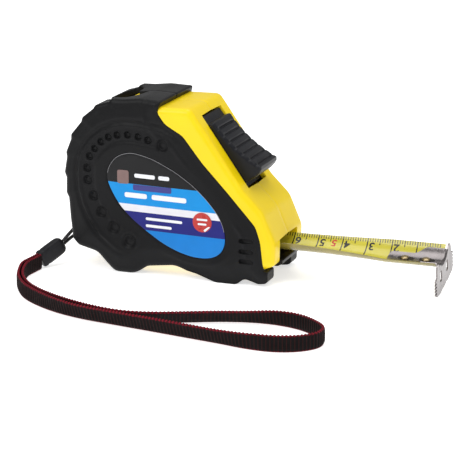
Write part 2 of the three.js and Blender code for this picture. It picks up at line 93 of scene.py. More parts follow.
# --- materials
def add_node(tree, kind, values=None, **settings):
    """A shader node; each of its inputs gets a plain value or another node's output."""
    made = tree.nodes.new(kind)
    for key, value in settings.items():
        setattr(made, key, value)
    for key, value in (values or {}).items():
        if isinstance(value, bpy.types.NodeSocket):
            tree.links.new(value, made.inputs[key])
        else:
            made.inputs[key].default_value = value
    return made


def ramp(tree, factor, stops, interpolation="LINEAR"):
    made = add_node(tree, "ShaderNodeValToRGB", {0: factor})
    made.color_ramp.interpolation = interpolation
    elements = made.color_ramp.elements
    while len(elements) > 1:
        elements.remove(elements[-1])
    elements[0].position, elements[0].color = stops[0][0], (*stops[0][1], 1)
    for position, colour in stops[1:]:
        elements.new(position).color = (*colour, 1)
    return made.outputs[0]


def math_node(tree, operation, *values):
    return add_node(tree, "ShaderNodeMath", dict(enumerate(values)), operation=operation).outputs[0]


def remap(tree, value, *limits):
    """A value carried from between the first two limits to between the last two, or to 0 to 1."""
    return add_node(tree, "ShaderNodeMapRange", dict(enumerate((value, *limits)))).outputs[0]


def mix_colour(tree, factor, under, over, blend="MIX"):
    """Two colours mixed; under is a node's output, and over may be a plain colour."""
    if not isinstance(over, bpy.types.NodeSocket):
        over = (*over, 1)
    values = {0: factor, 6: under, 7: over}
    return add_node(tree, "ShaderNodeMix", values, data_type="RGBA", blend_type=blend).outputs[2]


def start_material(name, **shader):
    made = bpy.data.materials.new(name)
    made.use_nodes = True
    tree = made.node_tree
    body = tree.nodes["Principled BSDF"]
    for key, value in shader.items():
        body.inputs[key.replace("_", " ")].default_value = value
    return made, tree, body


def texture_point(tree, stretch=(1, 1, 1)):
    point = add_node(tree, "ShaderNodeTexCoord").outputs["Object"]
    if stretch == (1, 1, 1):
        return point
    return add_node(tree, "ShaderNodeMapping", {"Vector": point, "Scale": stretch}).outputs[0]


def speckle(tree, point, scale, detail=3.0, rough=0.5):
    values = {"Vector": point, "Scale": scale, "Detail": detail, "Roughness": rough}
    return add_node(tree, "ShaderNodeTexNoise", values).outputs[0]


def finish_surface(tree, body, colour, rough, grain, grain_depth, blotch, vary=0.0, rough_vary=0.06,
                   stretch=(1, 1, 1)):
    """Colour variation in soft blotches, roughness that follows them, and a fine moulded grain as bump."""
    point = texture_point(tree, stretch)
    soft = speckle(tree, point, blotch, 4.0)
    fine = speckle(tree, point, grain, 3.0, 0.6)
    if not isinstance(colour, bpy.types.NodeSocket):
        darker = tuple(c * (1 - vary) for c in colour)
        lighter = tuple(min(1, c * (1 + vary)) for c in colour)
        colour = ramp(tree, soft, [(0.3, darker), (0.7, lighter)])
    tree.links.new(colour, body.inputs["Base Color"])
    spread = remap(tree, soft, 0.25, 0.75, max(0.02, rough - rough_vary), min(1, rough + rough_vary))
    tree.links.new(spread, body.inputs["Roughness"])
    bump = add_node(tree, "ShaderNodeBump", {"Strength": 0.6, "Distance": grain_depth, "Height": fine})
    tree.links.new(bump.outputs[0], body.inputs["Normal"])


def surface(name, colour, rough, grain=2600.0, grain_depth=0.00004, blotch=55.0, vary=0.06, rough_vary=0.06,
            stretch=(1, 1, 1), **shader):
    made, tree, body = start_material(name, **shader)
    finish_surface(tree, body, colour, rough, grain, grain_depth, blotch, vary, rough_vary, stretch)
    return made


def ink(name, colour, vary=0.05):
    return surface(name, colour, 0.35, blotch=300, vary=vary)


rubber = surface("grip_rubber", (0.0052, 0.0053, 0.006), 0.44, grain=3800, grain_depth=0.00005, blotch=70,
                 vary=0.16, rough_vary=0.07, Specular_IOR_Level=0.17)
yellow = surface("yellow_plastic", (0.9, 0.66, 0.0), 0.36, grain=1900, grain_depth=0.000025, vary=0.025,
                 Specular_IOR_Level=0.4)
black_plastic = surface("black_plastic", (0.008, 0.008, 0.01), 0.4, grain=3000, vary=0.12,
                        Specular_IOR_Level=0.22)
button_plastic = surface("button_plastic", (0.007, 0.0075, 0.0105), 0.42, grain=2600, vary=0.12,
                         Specular_IOR_Level=0.22)
grey_plastic = surface("grey_plastic", (0.33, 0.34, 0.35), 0.5, vary=0.05)
steel = surface("steel", (0.22, 0.2, 0.2), 0.28, grain=1500, grain_depth=0.00003, blotch=240, vary=0.3,
                rough_vary=0.14, stretch=(1, 1, 0.35), Metallic=1.0)
# Painted shade: the dark colour that fills the hook's slots
slot_painted_shade = surface("slot_painted_shade", (0.02, 0.016, 0.012), 0.4, vary=0.2, Metallic=0.6)
spring_steel = surface("spring_steel", (0.12, 0.13, 0.15), 0.3, vary=0.1, Metallic=1.0)
brass = surface("brass", (0.36, 0.28, 0.15), 0.3, blotch=300, vary=0.12, Metallic=1.0)
cord_fibre = surface("cord_fibre", (0.012, 0.011, 0.012), 0.7, grain=5000, grain_depth=0.00012, vary=0.2,
                     Sheen_Weight=0.25)
sticker_red = surface("sticker_red", (0.5, 0.028, 0.022), 0.3, blotch=200, vary=0.06)
sticker_white = surface("sticker_white", (0.86, 0.86, 0.88), 0.35, blotch=200, vary=0.03)
ink_white = ink("ink_white", (0.82, 0.83, 0.87))
edge_grey = ink("edge_grey", (0.22, 0.22, 0.23))
ink_navy = ink("ink_navy", (0.03, 0.032, 0.22))
ink_grey = ink("ink_grey", (0.2, 0.12, 0.11), 0.08)
ink_black = ink("ink_black", (0.012, 0.012, 0.012), 0.1)
ink_red = ink("ink_red", (0.55, 0.04, 0.025), 0.1)


def label_film():
    """Printed film: flat bands of colour across the label, sloping slightly down to the front."""
    made, tree, body = start_material("label_film", Coat_Weight=0.08, Coat_Roughness=0.25,
                                      Specular_IOR_Level=0.2)
    reach, slope_shift = 60, 1.06
    split = add_node(tree, "ShaderNodeSeparateXYZ", {0: texture_point(tree)})
    tilt = math_node(tree, "MULTIPLY", split.outputs[0], PRINT_FALL)
    height = math_node(tree, "ADD", split.outputs[2], tilt)
    stops = [(0.0, (0.006, 0.21, 0.64))]
    for z, colour in ((3.0, (0.016, 0.018, 0.19)), (10.0, (0.8, 0.8, 0.85)), (12.9, (0.004, 0.28, 0.72)),
                      (21.1, (0.008, 0.008, 0.009))):
        stops.append(((z + BLADE_ORIGIN.z - slope_shift) / reach, colour))
    bands = ramp(tree, remap(tree, height, 0.0, reach / 1000), stops, "CONSTANT")
    soft = speckle(tree, texture_point(tree), 160)
    shade = ramp(tree, soft, [(0.3, (0.93, 0.93, 0.93)), (0.7, (1, 1, 1))])
    colour = mix_colour(tree, 1.0, bands, shade, "MULTIPLY")
    finish_surface(tree, body, colour, rough=0.4, grain=2200, grain_depth=0.000012, blotch=90)
    return made


def lengths(tree):
    """A piece's own lengths along and across, in mm, from its uvs."""
    uv = add_node(tree, "ShaderNodeUVMap", uv_map="lengths")
    split = add_node(tree, "ShaderNodeSeparateXYZ", {0: uv.outputs[0]})
    return split.outputs[0], split.outputs[1]


# The scale's lines: their pitch, their half width, and how far across the strip they begin
SCALE_LINES = ((1.0, 0.16, 8.0), (5.0, 0.18, 6.9), (10.0, 0.24, -9.4))
SCALE_START = -0.6


def scale_mask(tree):
    """1 on the printed lines, which run from the strip's far edge inwards."""
    along, across = lengths(tree)
    # Shifted by whole pitches, so that no length is below zero
    shifted = math_node(tree, "ADD", along, 200.0)
    mask = 0.0
    for pitch, half_width, begins in SCALE_LINES:
        off = math_node(tree, "PINGPONG", shifted, pitch / 2)
        near = math_node(tree, "LESS_THAN", off, half_width)
        line = math_node(tree, "MULTIPLY", near, math_node(tree, "GREATER_THAN", across, begins))
        mask = math_node(tree, "MAXIMUM", mask, line)
    return math_node(tree, "MULTIPLY", mask, math_node(tree, "LESS_THAN", along, SCALE_START))


def blade_lacquer(name, scale=False):
    """Yellow-green lacquer: bright and printed with the scale, or a darker plain copy with painted shade for
    the strip's back.
    """
    made, tree, body = start_material(name, Coat_Weight=0.35, Coat_Roughness=0.12)
    if scale:
        soft = speckle(tree, texture_point(tree), 120)
        paint = ramp(tree, soft, [(0.3, (0.56, 0.5, 0.028)), (0.7, (0.63, 0.56, 0.036))])
        colour = mix_colour(tree, scale_mask(tree), paint, (0.014, 0.014, 0.01))
    else:
        # A darker copy of the same lacquer: painted shade for the underside, which faces away from the light
        streak = speckle(tree, texture_point(tree, (0.25, 1, 1)), 260)
        colour = ramp(tree, streak, [(0.3, (0.2, 0.165, 0.026)), (0.7, (0.28, 0.23, 0.042))])
    finish_surface(tree, body, colour, rough=0.27, grain=900, grain_depth=0.000015, blotch=90)
    return made


def webbing_weave():
    """Ribbed webbing from its own lengths: black ribs, a brownish red between them, and red selvedges."""
    made, tree, body = start_material("webbing_weave", Specular_IOR_Level=0.12)
    along, across = lengths(tree)
    threads = speckle(tree, texture_point(tree), 1500, 4)
    rib = math_node(tree, "PINGPONG", along, WEB_RIB / 2)
    rib = math_node(tree, "DIVIDE", rib, WEB_RIB / 2)
    rough_rib = math_node(tree, "ADD", rib, math_node(tree, "MULTIPLY", threads, 0.25))
    ribs = ramp(tree, rough_rib, [(0.2, (0.022, 0.004, 0.004)), (0.5, (0.004, 0.003, 0.0032)),
                                  (1.0, (0.006, 0.0045, 0.0048))])
    wobble = math_node(tree, "MULTIPLY_ADD", threads, 0.9, math_node(tree, "ABSOLUTE", across))
    selvedge = remap(tree, wobble, 2.95, 3.25)
    dashes = remap(tree, rib, 0.2, 0.6, 0.95, 0.3)
    colour = mix_colour(tree, math_node(tree, "MULTIPLY", selvedge, dashes), ribs, (0.22, 0.008, 0.02))
    finish_surface(tree, body, colour, rough=0.72, grain=4200, grain_depth=0.0001, blotch=200, rough_vary=0.1)
    return made


# --- meshes
def piece(name, points, faces, material, body="case", replaced=(), uvs=None, indices=None):
    """A mesh piece from blade-frame points, riding on a body. uvs are (along, across) for each point."""
    mesh = bpy.data.meshes.new(name)
    mesh.from_pydata([at(*p) for p in points], [], [tuple(int(i) for i in f) for f in faces])
    for one in material if isinstance(material, list) else [material]:
        mesh.materials.append(one)
    if indices is not None:
        mesh.polygons.foreach_set("material_index", indices)
    mesh.polygons.foreach_set("use_smooth", [True] * len(mesh.polygons))
    if uvs is not None:
        layer = mesh.uv_layers.new(name="lengths")
        for loop in mesh.loops:
            layer.data[loop.index].uv = uvs[loop.vertex_index]
    mesh.validate()
    mesh.update()
    return join_frame(add_object(name, mesh), body, replaced)


def join_frame(made, body, replaced=()):
    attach(made, body)
    if replaced:
        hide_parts(*replaced)
    return made


def grid_faces(rows, columns, closed_columns=False, flip=False):
    """Quads between neighbouring rows of a grid of points."""
    faces = []
    for r in range(rows - 1):
        for c in range(columns if closed_columns else columns - 1):
            a, b = r * columns + c, r * columns + (c + 1) % columns
            d, e = a + columns, b + columns
            faces.append((a, d, e, b) if flip else (a, b, e, d))
    return faces


def tube_faces(rows, columns):
    """Faces of a tube with closed ends."""
    last = (rows - 1) * columns
    ends = [tuple(range(columns))[::-1], tuple(range(last, last + columns))]
    return grid_faces(rows, columns, closed_columns=True) + ends


def sheet_faces(rows, columns, close_end=True):
    """Faces of a thin sheet whose points are its top grid and then its under grid: the top, and the rest."""
    layer = rows * columns
    top = grid_faces(rows, columns)
    rest = [tuple(i + layer for i in face)[::-1] for face in top]
    for r in range(rows - 1):
        a, b = r * columns, (r + 1) * columns
        rest.append((a, b, b + layer, a + layer))
        a, b = a + columns - 1, b + columns - 1
        rest.append((b, a, a + layer, b + layer))
    for c in range(columns - 1):
        rest.append((c + 1, c, c + layer, c + 1 + layer))
        if close_end:
            d = (rows - 1) * columns + c
            rest.append((d, d + 1, d + 1 + layer, d + layer))
    return top, rest


def crease(made, degrees=35):
    """Sharp edges where the surface turns by more than this."""
    made.data.set_sharp_from_angle(angle=radians(degrees))
    return made


def bevel(made, width, segments=2, degrees=35):
    """Rounds a piece's hard edges; width in mm."""
    rounding = made.modifiers.new("edges", "BEVEL")
    rounding.width = width / 1000
    rounding.segments = segments
    rounding.limit_method = "ANGLE"
    rounding.angle_limit = radians(degrees)
    return made


def unit(v):
    length = norm(v, axis=-1, keepdims=True)
    return v / np.maximum(length, 1e-9)


def rounded_outline(corners, spacing):
    """Evenly spaced points round a closed outline of (x, z, corner radius)."""
    count = len(corners)
    drawn = []
    for i, (x, z, radius) in enumerate(corners):
        corner = np.array((x, z))
        before = np.array(corners[i - 1][:2])
        after = np.array(corners[(i + 1) % count][:2])
        into, out = corner - before, after - corner
        reach_in, reach_out = norm(into), norm(out)
        turn = acos(np.clip(into @ out / reach_in / reach_out, -1, 1))
        reach = min(radius * tan(turn / 2), 0.45 * reach_in, 0.45 * reach_out)
        start, end = corner - into / reach_in * reach, corner + out / reach_out * reach
        for t in np.linspace(0, 1, 9):
            drawn.append((1 - t) ** 2 * start + 2 * t * (1 - t) * corner + t**2 * end)
    return resample(np.array(drawn), spacing)


def resample(points, spacing, closed=True):
    """Evenly spaced points along a polyline."""
    loop = np.vstack([points, points[:1]]) if closed else points
    steps = np.concatenate([[0], np.cumsum(norm(np.diff(loop, axis=0), axis=1))])
    count = round(steps[-1] / spacing)
    where = np.linspace(0, steps[-1], count, endpoint=False) if closed else np.linspace(0, steps[-1], count)
    return np.column_stack([np.interp(where, steps, loop[:, k]) for k in range(loop.shape[1])])


def soften(values, sigma):
    """Gaussian smoothing round a closed sequence; sigma in points."""
    half = int(3 * sigma) + 1
    kernel = np.exp(-0.5 * (np.arange(-half, half + 1) / sigma) ** 2)
    kernel /= kernel.sum()
    values = np.asarray(values, float)
    flat = values.reshape(len(values), -1)
    wrapped = np.vstack([flat[-half:], flat, flat[:half]])
    out = np.column_stack([np.convolve(wrapped[:, k], kernel, "valid") for k in range(flat.shape[1])])
    return out.reshape(values.shape)


def outward(points):
    """Outward normals of a counter-clockwise outline."""
    tangent = np.roll(points, -1, 0) - np.roll(points, 1, 0)
    return unit(np.column_stack([tangent[:, 1], -tangent[:, 0]]))


def distance(points, line, closed=True):
    """Distance from each point to a polyline."""
    ends = np.roll(line, -1, 0) if closed else line[1:]
    starts = line if closed else line[:-1]
    best = np.full(len(points), 1e9)
    for a, b in zip(starts, ends):
        run = b - a
        t = np.clip(((points - a) @ run) / max(run @ run, 1e-12), 0, 1)
        best = np.minimum(best, norm(points - (a + t[:, None] * run), axis=1))
    return best


def inside(points, loop):
    """Which points lie inside a closed loop."""
    x, z = points[:, 0], points[:, 1]
    found = np.zeros(len(points), bool)
    ends = np.roll(loop, -1, 0)
    for (x0, z0), (x1, z1) in zip(loop, ends):
        crosses = (z0 > z) != (z1 > z)
        if z0 != z1:
            found ^= crosses & (x < (x1 - x0) * (z - z0) / (z1 - z0) + x0)
    return found


def smoothstep(low, high, value):
    t = np.clip((value - low) / (high - low), 0, 1)
    return t * t * (3 - 2 * t)


def bell(value, width):
    return np.exp(-((value / width) ** 2))


def triangulate(rings, extra):
    """Triangles inside the first closed ring, through the other rings and the extra points."""
    coords, edges = [], []
    for ring in rings:
        base = len(coords)
        coords += [Vector(p) for p in ring]
        edges += [(base + i, base + (i + 1) % len(ring)) for i in range(len(ring))]
    coords += [Vector(p) for p in extra]
    outer = [tuple(range(len(rings[0])))]
    verts, _, faces, *_ = delaunay_2d_cdt(coords, edges, outer, 1, 1e-5)
    return np.array([tuple(v) for v in verts]), faces


def well_inside(points, loop, keep_off):
    """The points inside a loop and farther than keep_off from its line."""
    points = points[inside(points, loop)]
    return points[distance(points, loop) > keep_off]


def circle(radius, count):
    turns = np.linspace(0, 2 * pi, count, endpoint=False)
    return radius * np.column_stack([np.cos(turns), np.sin(turns)])


def lattice(loop, spacing, keep_off):
    """A lattice of equilateral triangles well inside a loop."""
    low, high = loop.min(0), loop.max(0)
    rows = np.arange(low[1], high[1], spacing * 0.866)
    points = np.array([(x + (i % 2) * spacing / 2, z)
                       for i, z in enumerate(rows) for x in np.arange(low[0], high[0], spacing)])
    return well_inside(points, loop, keep_off)


# The band's inner edge: shares of the lip still to come, each with its distance out from that edge
LIP_SECTION = ((1.0, 0.0), (0.05, 0.0), (0.012, 0.05), (0.0, 0.16))
LIP_END = 0.3
BAND_STEPS = np.linspace(0, 1, 9)[1:]


def rim_ring(outline, rim):
    """The side face's own edge, where the rounded rim ends."""
    smooth_line = soften(outline, RIM_SMOOTHING / SPACING)
    return smooth_line - outward(smooth_line) * rim[:, None]


def side_shell(name, side, outline, face, inner, lip, rim, height, rings, extra, material, replaced):
    """One half of a case: a band round the outline from y = inner to the rim, a rounded rim, and a side face
    that stands height(points) off the plane at face. side is +1 for the left half and -1 for the right."""
    count = len(outline)
    inner_ring = rim_ring(outline, rim)
    rise = height(inner_ring)
    soft_normal = unit(soften(outward(outline), 0.5 / SPACING))
    layers = [(outline - soft_normal * (lip * share)[:, None], inner + out) for share, out in LIP_SECTION]
    start = np.maximum(face - rim, inner + LIP_END + 0.05)
    for share in BAND_STEPS:
        layers.append((outline, inner + LIP_END + (start - inner - LIP_END) * share))
    for angle in BAND_STEPS * pi / 2:
        ring = inner_ring + (outline - inner_ring) * cos(angle)
        layers.append((ring, start + (face + rise - start) * sin(angle)))
    points = []
    for ring, depth in layers:
        points += [(p[0], side * d, p[1]) for p, d in zip(ring, np.broadcast_to(depth, count))]
    faces = grid_faces(len(layers), count, closed_columns=True, flip=side > 0)
    flat, triangles = triangulate([inner_ring] + rings, extra)
    base = len(points) - count
    on_ring = {tuple(np.round(p, 3)): base + i for i, p in enumerate(inner_ring)}
    numbers = []
    for p, h in zip(flat, height(flat)):
        number = on_ring.get(tuple(np.round(p, 3)))
        if number is None:
            number = len(points)
            points.append((p[0], side * (face + h), p[1]))
        numbers.append(number)
    for triangle in triangles:
        found = [numbers[i] for i in triangle]
        if len(set(found)) == len(found):
            faces.append(found if side < 0 else found[::-1])
    return piece(name, points, faces, material, "case", replaced)


# --- outlines
# Corners as (x, z, radius)
HOUSING_OUTLINE = [
    (-64.5, -9, 1), (-60.3, -7.2, 2), (-60.1, 1.5, 6), (-65.2, 13.5, 10), (*SLOPE_FOOT, 6),
    (-94.8, 52.1, 3.5), (-106.2, 51.9, 2), (-116, 52.2, 12), (-127, 51, 8), (-138, 43.6, 9),
    (-143.8, 31, 14), (-144, 18, 20), (-142.2, 3, 10), (-140.6, -3.2, 3), (-134, -4.8, 6), (-127, -9, 5),
]
COVER_OUTLINE = [
    (-62.6, -14.2, 2.6), (-62.6, -9.4, 1), (-64.3, -9.4, 1.6), (-65.7, 2.1, 12), (-67.6, 8, 8),
    (-79.3, 20.9, 30), (-89.3, 31.4, 30), (-97.4, 41.6, 8), (-104.6, 45.6, 7), (-108, 50.2, 4),
    (-106.4, 54.3, 1), (-115.4, 54.7, 12), (-122.5, 53.9, 6), (-127.6, 53.8, 1.5), (-128.6, 52.5, 0.7),
    (-134.2, 50.9, 1.5), (-135.3, 49.3, 0.7), (-139.9, 45.6, 1.5), (-140.4, 43.8, 0.7), (-144.8, 38.5, 1.5),
    (-144.9, 36.5, 0.7), (-147.1, 31.2, 1.5), (-146.8, 29.3, 0.7), (-147.9, 23, 1.5), (-147.1, 20.9, 0.7),
    (-147.3, 14.8, 1.5), (-146.3, 12.9, 0.7), (-145.7, 4.5, 3), (-144.8, -3.8, 2.5), (-142.4, -6.3, 2),
    (-134.3, -8.3, 6), (-130.4, -12.4, 5), (-127, -15.7, 6), (-118.2, -15.7, 8), (-113, -12.2, 5),
    (-102, -10.9, 8), (-92, -13, 12), (-84.2, -15.7, 7), (-75.4, -15.7, 4), (-72.2, -13, 3),
    (-66.5, -14.7, 3),
]
LABEL_OUTLINE = [
    (-129.1, 25.7), (-128.9, 22.1), (-127.1, 17.9), (-123.6, 12.1), (-118.6, 7.1), (-112.9, 2.9),
    (-105.7, -1.8), (-99.3, -4.6), (-93.6, -6.1), (-87.9, -6.4), (-83.6, -5.4), (-80.7, -2.9), (-79.5, 1.4),
    (-80.4, 7.1), (-82.9, 12.1), (-87.9, 17.9), (-93.6, 22.9), (-100.7, 27.5), (-110, 31.8),
    (-118.6, 33.8), (-125.2, 31.8),
]
# The band's dimples as (x, z, radius), and the heights of the toe's slots
DIMPLES = [
    (-105.6, 37.3, 2.56), (-111.6, 38.9, 1.56), (-115.7, 39.9, 1.44), (-120.1, 40.4, 1.44),
    (-124.5, 40, 1.44), (-128.2, 38.9, 1.44), (-131.4, 36.8, 1.44), (-134.1, 33.9, 1.44),
    (-136.3, 30.7, 1.56), (-137.4, 25.9, 1.67), (-137.3, 21.1, 1.89), (-134.9, 14.9, 2.12),
    (-131.6, 8.6, 2.34), (-126.4, 2.9, 2.68), (-119.9, -2, 3.01),
]
GRIP_SLOTS, SLOTS_FROM, SLOTS_TO = (2.2, -2.0, -6.0), -73.3, -69.3
# The crest that runs round the band of dimples
BAND_CREST = [
    (-98.5, 37.2), (-102.3, 40.6), (-106.3, 42.4), (-111.5, 43.3), (-116.7, 43.9), (-121.3, 44), (-126.3, 43),
    (-131, 40.8), (-135.3, 37.3), (-138.6, 33), (-140.3, 28.5), (-140.8, 23), (-140.4, 17.5), (-138.8, 11.5),
    (-136, 5.5), (-131.5, -0.5), (-125.5, -5.2), (-118, -7.8),
]
CREST_MIDDLE = np.array((-120.5, 20.0))
# Where the cover has its front edge, against the yellow nose
FRONT_BOX = ((-107.75, -9.2), (0, 50.4))
cover_line = rounded_outline(COVER_OUTLINE, SPACING)
housing_line = rounded_outline(HOUSING_OUTLINE, SPACING)
label_line = soften(rounded_outline([(x, z, 5) for x, z in LABEL_OUTLINE], 0.4), 5)
is_front = ((cover_line > FRONT_BOX[0]) & (cover_line < FRONT_BOX[1])).all(axis=1)
front_line = cover_line[is_front]
back_line = np.roll(cover_line, -int(np.flatnonzero(is_front)[-1]) - 1, 0)[: int((~is_front).sum())]
crest_line = resample(np.array(BAND_CREST, float), 0.5, closed=False)


def band_relief(p):
    """The band of dimples: a crest round it, a groove outside the crest, and a step down from the label."""
    crest = distance(p, crest_line, closed=False)
    posts = crest_line[::4]
    nearest = np.argmin(((p[:, None, :] - posts[None]) ** 2).sum(2), axis=1)
    outer = norm(p - CREST_MIDDLE, axis=1) > norm(posts - CREST_MIDDLE, axis=1)[nearest]
    signed = np.where(outer, crest, -crest)
    along = nearest / (len(crest_line) / 4)
    fade = smoothstep(0, 0.12, along) * smoothstep(0, 0.25, 1 - along)
    in_band = smoothstep(-7.2, -5.8, signed) * (1 - smoothstep(-0.6, 0.2, signed))
    return fade * (0.24 * bell(signed, 0.45) - 0.8 * bell(signed - 1.6, 0.95) - 0.5 * in_band)


def dimple_depth(p, x, z, radius):
    """A dimple with a ring-shaped groove in it, deepest towards the back, and a slight lip round it."""
    away = p - (x, z)
    far = norm(away, axis=1) / radius
    turn = np.cos(np.arctan2(away[:, 1] + 0.2 * radius, away[:, 0]))
    ring = 0.75 * (0.8 - 0.2 * turn) * bell(far - 0.72, 0.24) + 0.5 * (1 - smoothstep(0.6, 1.0, far))
    return np.where(far < 2, ring - 0.14 * bell(far - 1.16, 0.14), 0)


def slot_depth(p, z):
    """One of the toe's slots, deeper towards the front."""
    far = distance(p, np.array([(SLOTS_FROM, z), (SLOTS_TO, z)]), closed=False)
    return (1 - smoothstep(0.5, 1.05, far)) * (0.8 + 0.5 * (1 - smoothstep(-73.4, -69.5, p[:, 0])))


def cover_height(p):
    """How far the rubber side stands off its flat plane, in mm, at (x, z) points."""
    from_back = distance(p, back_line, closed=False)
    from_front = distance(p, front_line, closed=False)
    from_label = distance(p, label_line)
    from_label = np.where(inside(p, label_line), -from_label, from_label)
    h = -1.15 * (1 - smoothstep(1.0, 8.0, from_back)) * smoothstep(1.5, 6.0, from_front)
    h -= 0.45 * (1 - smoothstep(0.5, 5.0, from_front))
    h += band_relief(p)
    # A faint ridge along the front edge, a raised rim round the label's lower end, and the label's recess
    h += 0.32 * bell(from_front - 6.2, 0.8) * smoothstep(3.0, 5.5, from_label) * smoothstep(-12, 0, p[:, 1])
    low_side = 1 - smoothstep(-7.0, -1.0, p[:, 1])
    h += 0.28 * bell(from_label - 2.7, 0.9) * low_side * smoothstep(-112, -100, p[:, 0])
    h -= 0.32 * (1 - smoothstep(0.3, 0.55, from_label))
    for dimple in DIMPLES:
        h -= dimple_depth(p, *dimple)
    for z in GRIP_SLOTS:
        h -= slot_depth(p, z)
    return h


# The roof window's middle and half length on each side, and how far down each side it reaches
ROOF_WINDOW, WINDOW_REACH = {-1: (-126.5, 8.2), 1: (-128, 5.4)}, 13
# The covers stand this far off the middle plane at the strap's lugs
LUG_GAP = 9.3


def cover_inner(p, side):
    """How far in from the side the cover's band reaches (its inner edge's y), round its outline."""
    x, z = p[:, 0], p[:, 1]
    y = np.where(is_front, COVER_BACK, 0.15)
    y = np.where((z < -6) & (x > -131.5) & (x < -58), UNDER_REACH, y)
    y = np.where((x < -138.2) & (z > -10) & (z < 2.4), LUG_GAP, y)
    middle, half = ROOF_WINDOW[side]
    window = WINDOW_REACH * np.sqrt(np.clip(1 - ((x - middle) / half) ** 2, 0, 1))
    return np.where((z > 40) & (window > y), window, y)


def cover_points(limit):
    """Points for the cover's side: a lattice, rings at the dimples, and a finer grid at the toe's slots."""
    grid, rings, fine = lattice(cover_line, 0.62, 0.8), [], []
    for x, z, radius in DIMPLES:
        for share in (0.12, 0.3, 0.46, 0.6, 0.74, 0.88, 1.02, 1.18, 1.36):
            rings.append((x, z) + circle(radius * share, max(8, round(26 * share))))
        grid = grid[norm(grid - (x, z), axis=1) > radius * 1.5]
    for z in GRIP_SLOTS:
        gx, gz = np.meshgrid(np.arange(-74.8, -66.2, 0.22), np.arange(z - 1.5, z + 1.5, 0.22))
        fine.append(np.column_stack([gx.ravel(), gz.ravel()]))
        grid = grid[(np.abs(grid[:, 1] - z) > 1.6) | (grid[:, 0] < -74.9) | (grid[:, 0] > -66.1)]
    fine = well_inside(np.vstack(fine), cover_line, 1.2)
    fine = fine[np.unique(np.round(fine / 0.15).astype(int), axis=0, return_index=True)[1]]
    points = well_inside(np.vstack([grid, *rings, fine]), limit, 0.2)
    label_gap = distance(points, label_line)
    return points[(label_gap > 0.75) | inside(points, label_line)]


def cover_side(side):
    by_front = distance(cover_line, front_line, closed=False) < 3.5
    low = (cover_line[:, 1] < -8.2) & (cover_line[:, 0] > -98)
    rim = soften(np.where(by_front, 0.8, np.where(low, 1.0, 2.6)), 5)
    lip = np.full(len(cover_line), 2.2)
    rings = [label_line + outward(label_line) * gap for gap in (0.28, 0.58)]
    name = "right_grip" if side < 0 else "left_grip"
    points = cover_points(rim_ring(cover_line, rim))
    return side_shell(name, side, cover_line, FACE, cover_inner(cover_line, side), lip, rim, cover_height,
                      rings, points, rubber, (f"{name}_cover",))


def housing_height(p):
    """The yellow side stands a little proud where the rubber leaves it bare."""
    from_front = distance(p, front_line, closed=False)
    return -1.2 * smoothstep(1.0, 3.0, np.where(inside(p, cover_line), from_front, -from_front))


def housing_side(side):
    x, z = housing_line[:, 0], housing_line[:, 1]
    run = np.array((cos(SLOPE_ANGLE), sin(SLOPE_ANGLE)))
    from_foot = housing_line - SLOPE_FOOT
    along = from_foot @ run
    off = np.abs(from_foot @ np.array((run[1], -run[0])))
    in_slot = (along > 0) & (along < SLOT_LENGTH) & (off < 0.6)
    in_mouth = (z < 1.8) & (x > -66) | (z < -6) & (x > -75)
    inner = np.where(in_slot, SLOT_HALF, np.where(in_mouth, UNDER_REACH, 0.04))
    lip = np.where(in_mouth, soften(np.where(in_mouth, 7.0, 2.0), 2), 2.0)
    rim = np.full(len(housing_line), 2.3)
    half = "right" if side < 0 else "left"
    return side_shell(f"{half}_shell", side, housing_line, NOSE_FACE, inner, lip, rim, housing_height, [],
                      lattice(housing_line, 0.8, 2.7), yellow, (f"{half}_housing",))


# --- strap
WEB_WIDTH, WEB_THICK, WEB_RIB, WEB_STEP = 6.0, 1.2, 1.4, 0.15
WEBBING_ROUTE = [
    (-157.3, -24), (-157.6, -28.6), (-158, -35.5), (-155.8, -43.5), (-151.6, -52.9), (-144.8, -62.1),
    (-135.5, -69.4), (-124.5, -75.2), (-113, -78.9), (-101, -81), (-88, -83.2), (-72, -86), (-57, -88.6),
    (-45, -90.8), (-35.5, -90.7), (-27.4, -87.4), (-22.4, -81.4), (-22.6, -74.4), (-28, -68.2),
    (-35.5, -63.6), (-44.5, -61.6), (-54, -62.3), (-64, -65), (-74.5, -69.4), (-86, -74.2), (-99, -77.8),
    (-112, -77.2), (-123.7, -73.6), (-134.4, -67.9), (-143.5, -60.8), (-150.3, -51.9), (-154.4, -42.7),
    (-156.4, -35.1), (-156.1, -28.7), (-155.8, -24.6),
]
WEBBING_LEVEL = -12.6
CORD_ROUTE = [
    (-150.5, -13.9, -6.1), (-149, -9.8, -3.4), (-147.3, -6.2, -1.1), (-145.2, -4, 0.1), (-143.2, -3, -0.1),
    (-142.4, -2.7, -1.6), (-143.1, -2.7, -3.1), (-145, -3.2, -3.5), (-147.5, -5.8, -4.5), (-149.3, -9.4, -6),
    (-150.5, -13.4, -7.5),
]
CORD_RADIUS = 0.7
# Where the webbing ends and the cord begins
CLAMP_FOOT, CLAMP_HEAD = np.array((-156.6, -22.4, -12.3)), np.array((-150.8, -14.2, -7.2))


def between(p, q, low, high, t):
    """The point at time t on the line that is at p at time low and at q at time high."""
    return (high - t) / (high - low) * p + (t - low) / (high - low) * q


